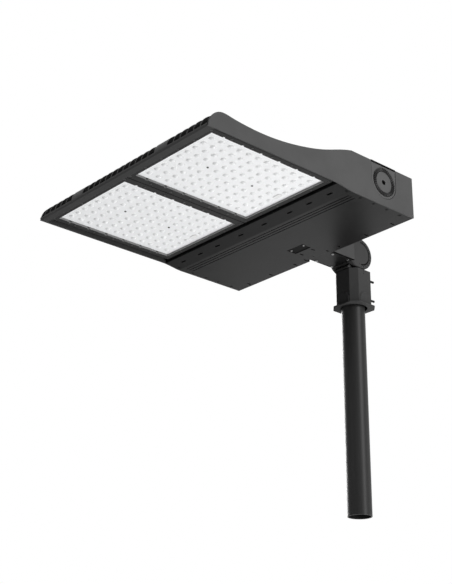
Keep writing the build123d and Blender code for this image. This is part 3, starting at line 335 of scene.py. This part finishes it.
def steel(name, level, roughness):
    """Screw steel with fine turning marks."""
    material, tree, shader = new_material(name)
    marks = noise(tree, 500.0, 2.0, (1.0, 1.0, 6.0))
    colour = ramp(tree, marks.outputs["Fac"], tint(srgb(*level), 0.85), tint(srgb(*level), 1.1))
    link(tree, colour.outputs["Color"], shader.inputs["Base Color"])
    rough = spread_value(tree, marks.outputs["Fac"], roughness - 0.08, roughness + 0.08)
    link(tree, rough, shader.inputs["Roughness"])
    shader.inputs["Metallic"].default_value = 1.0
    return material


def pole_paint():
    """Satin paint on a drawn tube: long faint streaks along it."""
    material, tree, shader = new_material("pole_paint")
    streaks = noise(tree, 60.0, 4.0, (1.0, 1.0, 0.05))
    colour = ramp(tree, streaks.outputs["Fac"], srgb(38), srgb(44))
    link(tree, colour.outputs["Color"], shader.inputs["Base Color"])
    speckle = noise(tree, 1200.0, 2.0)
    rough = spread_value(tree, streaks.outputs["Fac"], 0.34, 0.46)
    link(tree, rough, shader.inputs["Roughness"])
    shader.inputs["Specular IOR Level"].default_value = 0.12
    bump = tree.nodes.new("ShaderNodeBump")
    bump.inputs["Distance"].default_value = 0.00006
    bump.inputs["Strength"].default_value = 0.4
    link(tree, speckle.outputs["Fac"], bump.inputs["Height"])
    link(tree, bump.outputs["Normal"], shader.inputs["Normal"])
    return material


def lens_plastic(name, low, high):
    """White lens plastic, lit as the plate it stands on since it carries light from all round."""
    material, tree, shader = new_material(name)
    frost = noise(tree, 260.0, 3.0)
    colour = ramp(tree, frost.outputs["Fac"], srgb(low), srgb(high))
    link(tree, colour.outputs["Color"], shader.inputs["Base Color"])
    shader.inputs["Roughness"].default_value = 0.60
    shader.inputs["Specular IOR Level"].default_value = 0.15
    place = tree.nodes.new("ShaderNodeTexCoord")
    flatter = tree.nodes.new("ShaderNodeVectorMath")
    flatter.operation = "MULTIPLY"
    flatter.inputs[1].default_value = (lens_modelling, lens_modelling, 1.0)
    turned = tree.nodes.new("ShaderNodeVectorTransform")
    turned.vector_type = "NORMAL"
    turned.convert_from = "OBJECT"
    turned.convert_to = "WORLD"
    link(tree, place.outputs["Normal"], flatter.inputs[0])
    link(tree, flatter.outputs["Vector"], turned.inputs["Vector"])
    link(tree, turned.outputs["Vector"], shader.inputs["Normal"])
    return material


def plate_plastic():
    """The white plate between the domes, faintly frosted, with painted shade in the corners round the domes
    and walls.
    """
    material, tree, shader = new_material("plate_plastic")
    frost = noise(tree, 260.0, 3.0)
    colour = ramp(tree, frost.outputs["Fac"], srgb(246, 247, 248), srgb(251, 252, 253))
    shaded = multiply(tree, colour.outputs["Color"], crevice_shade(tree, 0.005, 0.0, 0.6))
    link(tree, shaded, shader.inputs["Base Color"])
    rough = spread_value(tree, frost.outputs["Fac"], 0.30, 0.42)
    link(tree, rough, shader.inputs["Roughness"])
    return material


def plain(name, level, roughness, scale=300.0, specular=0.5):
    """Rubber, potting and moulded plastic: matte with a faint mottle."""
    material, tree, shader = new_material(name)
    mottle = noise(tree, scale, 3.0)
    colour = ramp(tree, mottle.outputs["Fac"], tint(srgb(*level), 0.9), tint(srgb(*level), 1.1))
    link(tree, colour.outputs["Color"], shader.inputs["Base Color"])
    rough = spread_value(tree, mottle.outputs["Fac"], roughness - 0.06, roughness + 0.06)
    link(tree, rough, shader.inputs["Roughness"])
    shader.inputs["Specular IOR Level"].default_value = specular
    bump = tree.nodes.new("ShaderNodeBump")
    bump.inputs["Distance"].default_value = 0.0001
    bump.inputs["Strength"].default_value = 0.3
    link(tree, mottle.outputs["Fac"], bump.inputs["Height"])
    link(tree, bump.outputs["Normal"], shader.inputs["Normal"])
    return material


def dress(nodes, material):
    """Give CAD nodes a finished material."""
    for name in nodes:
        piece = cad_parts[name]
        piece.data.materials.clear()
        piece.data.materials.append(material)


both = ("left", "right")
# All coats below stand for one black powder coat; each part's level is set to how bright that part shows
# under the light, so the differences between them are painted light and shade, lightest on the side plates
# and darkest on the housing and covers that face down
plate_coat = coat("plate_coat", (84,), 0.50, edge_highlight=1.0)
fitter_coat = coat("fitter_coat", (66,), 0.50, specular=0.02)
arm_coat = coat("arm_coat", (74,), 0.50)
sink_coat = coat("sink_coat", (60,), 0.50, specular=0.12)
housing_coat = coat("housing_coat", (30,), 0.36, specular=0.11)
frame_coat = coat("frame_coat", (54,), 0.50)
# Painted light: the window walls of the frames painted pale for light thrown back from the lenses
painted_lit_walls(frame_coat, srgb(150))
# Painted highlight: the boss's rounded edges lightened three times over, standing for glints on its teeth
boss_coat = coat("boss_coat", (84,), 0.30, edge=0.0014, specular=0.15, edge_highlight=3.0)
painted_tooth_shade(boss_coat)
dress([f"side_plate_{side}" for side in both], plate_coat)
dress([f"yoke_boss_{side}" for side in both], boss_coat)
dress(["slipfitter_body"], fitter_coat)
knuckle_coat = coat("knuckle_coat", (68,), 0.50, specular=0.02)
painted_scale_shade(knuckle_coat)
dress(["knuckle_yoke"], knuckle_coat)
dress(["arm_bracket"], arm_coat)
dress(["heat_sink"], sink_coat)
dress(["driver_housing", "driver_cover", "arm_cover"], housing_coat)
dress(["access_cover"], plain("cover_plastic", (12,), 0.60, specular=0.08))
dress([f"lens_frame_{side}" for side in both], frame_coat)
dress(["mounting_pole"], pole_paint())
bright_steel = steel("bright_steel", (170,), 0.30)
dark_steel = plain("dark_steel", (12,), 0.50, specular=0.15)
dress(["arm_cover_screws", "access_cover_screws"], bright_steel)
small_steel = steel("small_steel", (96,), 0.45)
dress([f"{kind}_screws_{side}" for kind in ("frame", "lens") for side in both], small_steel)
dress(["side_plate_nuts", "driver_screws", "box_bolts", "arm_bolts", "knuckle_bolts"], bright_steel)
dress(["set_screws", "driver_cover_screws", "pivot_bolt", "pivot_washer", "boss_lock_rings"], dark_steel)
rubber = plain("rubber", (12,), 0.80, specular=0.08)
dress([f"{kind}_{side}" for kind in ("lens_gasket", "lead_grommet") for side in both], rubber)
# The arm gasket and the boss seals are black strips set where a shaded gap shows, so their black stands in
# for the shade in those gaps
dress(["cover_gasket", "arm_gasket", "arm_cover_seal", "boss_seals"], rubber)
dress([f"wire_seal_{side}" for side in both], plain("sealant", (238,), 0.55, 500.0))
dress([f"led_board_{side}" for side in both], plain("board_mask", (232,), 0.40))
dress([f"led_driver_{side}" for side in both], steel("driver_case", (150,), 0.38))
dress([f"board_lead_{side}" for side in both], plain("lead_jacket", (38,), 0.50))
dress(["terminal_block"], plain("block_plastic", (206, 200, 184), 0.45))
dress(["surge_protector"], plain("surge_plastic", (150, 48, 36), 0.45))
dress([f"lens_plate_{side}" for side in both], plate_plastic())


def lens_domes(side, white, grey):
    """The caps of one panel as one mesh, each with painted shade on one side of its rim, in a darker copy
    of the lens plastic.
    """
    cap_angle = 2 * atan(lens_rise / lens_base_radius)
    cap_radius = lens_base_radius / sin(cap_angle)
    low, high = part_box(f"led_board_{side}")
    centre_x = (low[0] + high[0]) / 2
    centre_y = (low[1] + high[1]) / 2
    plate_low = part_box(f"lens_gasket_{side}")[0][2] - 0.002
    outwards = 1 if side == "right" else -1
    points_each = lens_rings * lens_sides + 1
    faces_each = lens_rings * lens_sides
    vertices, faces = [], []
    for column in range(lens_across):
        for row in range(lens_along):
            if column == lens_column_left_out and row in lens_rows_left_out:
                continue
            x = centre_x + outwards * (column - (lens_across - 1) / 2) * lens_pitch
            y = centre_y + (row - (lens_along - 1) / 2) * lens_pitch
            start = len(vertices)
            for ring in range(lens_rings):
                slope = cap_angle * (1 - ring / lens_rings)
                radius = cap_radius * sin(slope)
                drop = cap_radius * (cos(slope) - cos(cap_angle))
                for n in range(lens_sides):
                    turn = radians(360 * n / lens_sides)
                    vertices.append((x + radius * cos(turn), y + radius * sin(turn), plate_low - drop))
            vertices.append((x, y, plate_low - lens_rise))
            tip = len(vertices) - 1
            for ring in range(lens_rings - 1):
                for n in range(lens_sides):
                    a = start + ring * lens_sides + n
                    b = start + ring * lens_sides + (n + 1) % lens_sides
                    faces.append((a, a + lens_sides, b + lens_sides, b))
            last = start + (lens_rings - 1) * lens_sides
            for n in range(lens_sides):
                faces.append((last + n, tip, last + (n + 1) % lens_sides))
    mesh = bpy.data.meshes.new(f"lens_domes_{side}")
    mesh.from_pydata(vertices, [], faces)
    mesh.materials.append(white)
    mesh.materials.append(grey)
    for face in mesh.polygons:
        face.use_smooth = True
        outer = face.index % faces_each < limb_rings * lens_sides
        dome = mesh.vertices[(face.index // faces_each + 1) * points_each - 1].co
        away = (face.center - dome).xy.normalized().dot(Vector(limb_side))
        # Outer-ring faces on the far side take the darker copy, as painted shade
        face.material_index = int(outer and away > limb_reach)
    piece = bpy.data.objects.new(f"lens_domes_{side}", mesh)
    bpy.context.collection.objects.link(piece)
    return piece


dome_white = lens_plastic("dome_white", 253, 255)
# A darker copy of the lens plastic, for the painted shade on the caps' rims
dome_painted_shade = lens_plastic("dome_painted_shade", 126, 140)
for side in both:
    domes = lens_domes(side, dome_white, dome_painted_shade)
    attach(domes, "head")


def add_camera():
    """The camera at the photo's place, turned by yaw, pitch and roll."""
    data = bpy.data.cameras.new("camera")
    data.sensor_fit = "VERTICAL"
    data.sensor_height = sensor_size
    data.lens = focal_pixels / photo_height * sensor_size
    camera = bpy.data.objects.new("camera", data)
    bpy.context.collection.objects.link(camera)
    yaw, pitch = radians(camera_yaw), radians(camera_pitch)
    forward = Vector((-sin(yaw) * cos(pitch), cos(yaw) * cos(pitch), sin(pitch)))
    right = Vector((cos(yaw), sin(yaw), 0.0))
    up = right.cross(forward)
    turn = Matrix((right, up, -forward)).transposed().to_4x4()
    turn = turn @ Matrix.Rotation(radians(camera_roll), 4, "Z")
    camera.matrix_world = Matrix.Translation(camera_place) @ turn
    bpy.context.scene.camera = camera
    return camera


def add_area(name, place, target, size, power):
    """A soft square lamp that faces a target."""
    data = bpy.data.lights.new(name, "AREA")
    data.shape = "SQUARE"
    data.size = size
    data.energy = power
    lamp = bpy.data.objects.new(name, data)
    bpy.context.collection.objects.link(lamp)
    lamp.location = place
    lamp.rotation_euler = (Vector(target) - Vector(place)).to_track_quat("-Z", "Y").to_euler()
    return lamp


def add_world():
    """Soft even light, with a white background for what the camera, gloss and glass see."""
    world = bpy.data.worlds.new("studio")
    world.use_nodes = True
    tree = world.node_tree
    soft = tree.nodes["Background"]
    soft.inputs["Color"].default_value = background
    soft.inputs["Strength"].default_value = 0.06
    bright = tree.nodes.new("ShaderNodeBackground")
    bright.inputs["Color"].default_value = background
    bright.inputs["Strength"].default_value = 1.0
    path = tree.nodes.new("ShaderNodeLightPath")
    seen = tree.nodes.new("ShaderNodeMath")
    seen.operation = "MAXIMUM"
    link(tree, path.outputs["Is Camera Ray"], seen.inputs[0])
    link(tree, path.outputs["Is Transmission Ray"], seen.inputs[1])
    either = tree.nodes.new("ShaderNodeMath")
    either.operation = "MAXIMUM"
    link(tree, seen.outputs["Value"], either.inputs[0])
    link(tree, path.outputs["Is Glossy Ray"], either.inputs[1])
    mix = tree.nodes.new("ShaderNodeMixShader")
    link(tree, either.outputs["Value"], mix.inputs["Fac"])
    link(tree, soft.outputs["Background"], mix.inputs[1])
    link(tree, bright.outputs["Background"], mix.inputs[2])
    link(tree, mix.outputs["Shader"], tree.nodes["World Output"].inputs["Surface"])
    bpy.context.scene.world = world


def add_floor():
    """A plain pale floor below the pole's foot."""
    mesh = bpy.data.meshes.new("floor")
    reach = floor_half_size
    corners = [(-reach, -reach), (reach, -reach), (reach, reach), (-reach, reach)]
    mesh.from_pydata([(x, y, floor_height) for x, y in corners], [], [(0, 1, 2, 3)])
    floor = bpy.data.objects.new("floor", mesh)
    bpy.context.collection.objects.link(floor)
    material, tree, shader = new_material("floor")
    grain = noise(tree, 8.0, 3.0)
    colour = ramp(tree, grain.outputs["Fac"], srgb(238), srgb(244))
    link(tree, colour.outputs["Color"], shader.inputs["Base Color"])
    shader.inputs["Roughness"].default_value = 0.9
    mesh.materials.append(material)


add_camera()
add_world()
add_floor()
head_middle = (0.0, -0.44, 0.68)
add_area("key", (4.6, 0.5, 1.6), head_middle, 1.6, 170.0)
add_area("top", (-0.6, 1.2, 4.0), head_middle, 3.0, 60.0)
add_area("below", (0.5, 0.5, -1.5), head_middle, 1.2, 40.0)
add_area("sheen", (-1.9, 2.2, -0.5), head_middle, 1.6, 6.0)
add_area("left", (-2.9, 1.0, 1.4), head_middle, 1.6, 60.0)
add_area("front", (-0.6, -3.2, 2.2), head_middle, 1.6, 25.0)
bpy.context.scene.view_settings.view_transform = "Standard"
